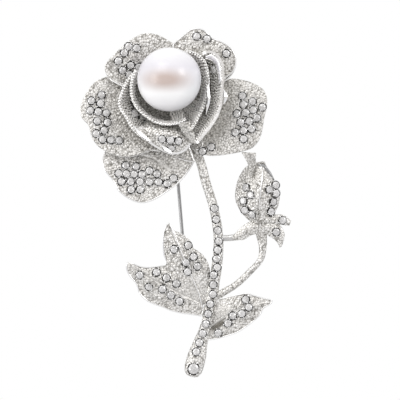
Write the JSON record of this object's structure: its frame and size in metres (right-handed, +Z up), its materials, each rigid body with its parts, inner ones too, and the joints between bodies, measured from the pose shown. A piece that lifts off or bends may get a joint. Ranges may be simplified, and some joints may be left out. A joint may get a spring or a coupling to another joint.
{
  "type": "flower brooch",
  "caption": "Rose brooch: cast petals cup a pearl, on a curved stem with two leaves and a bud, paved with round stones; a hinged pin and turning lock behind.",
  "frame": {"origin": "middle of the straight round wall of the pin stem, on its axis", "axes": "+Z up as worn, +X to the right of one who faces the flower, +Y back towards the wearer; the flower faces -Y"},
  "size_m": [0.0395, 0.02, 0.0651],
  "materials": {
    "cast_metal": "silver-coloured plating over a fine granular cast surface, satin",
    "polished_metal": "smooth polished silver-coloured plating",
    "pin_steel": "drawn steel wire, fine lengthwise polish",
    "pearl": "white pearl, soft rose and blue-grey overtones",
    "crystal": "clear faceted round stones with a foiled back"
  },
  "bodies": {
    "brooch": {"flower_disc": "cast_metal", "petal_outer_right": "cast_metal", "petal_outer_upper_right": "cast_metal", "petal_outer_upper_left": "cast_metal", "petal_outer_left": "cast_metal", "petal_outer_bottom": "cast_metal", "petal_middle_left": "cast_metal", "petal_middle_front": "cast_metal", "petal_middle_right": "cast_metal", "petal_inner_left": "cast_metal", "petal_inner_right": "cast_metal", "pearl_cup": "cast_metal", "pearl_post": "polished_metal", "pearl": "pearl", "stem": "cast_metal", "bud_branch": "cast_metal", "bud_link_bar": "polished_metal", "bud_petal_left": "cast_metal", "bud_petal_right": "cast_metal", "bud_petal_back": "cast_metal", "bud_strip": "cast_metal", "sepal_left": "cast_metal", "sepal_upper_right": "cast_metal", "sepal_lower_right": "cast_metal", "leaf_left": "cast_metal", "leaf_right": "cast_metal", "hinge_base": "polished_metal", "hinge_rivet": "pin_steel", "catch_base": "polished_metal", "stones_upper_left": "crystal", "stones_upper_right": "crystal", "stones_right": "crystal", "stones_left": "crystal", "stones_bottom": "crystal", "stones_middle_left": "crystal", "stones_middle_front": "crystal", "stones_middle_right": "crystal", "stones_stem": "crystal", "stone_foot": "crystal", "stones_bud_left": "crystal", "stones_bud_right": "crystal", "stones_sepals": "crystal", "stones_leaf_left": "crystal", "stones_leaf_right": "crystal"},
    "pin": {"pin_stem": "pin_steel"},
    "lock": {"catch_lock": "polished_metal"}
  },
  "joints": [
    {"name": "pin_swing", "type": "hinge", "parent": "brooch", "child": "pin", "pos_m": [-0.00117, 0, 0.01395], "axis": [0.9965, 0, 0.0837], "range_deg": [0, 100]},
    {"name": "lock_turn", "type": "hinge", "parent": "brooch", "child": "lock", "pos_m": [0.00108, 0, -0.01285], "axis": [-0.0837, 0, 0.9965], "range_deg": [0, 130]}
  ]
}
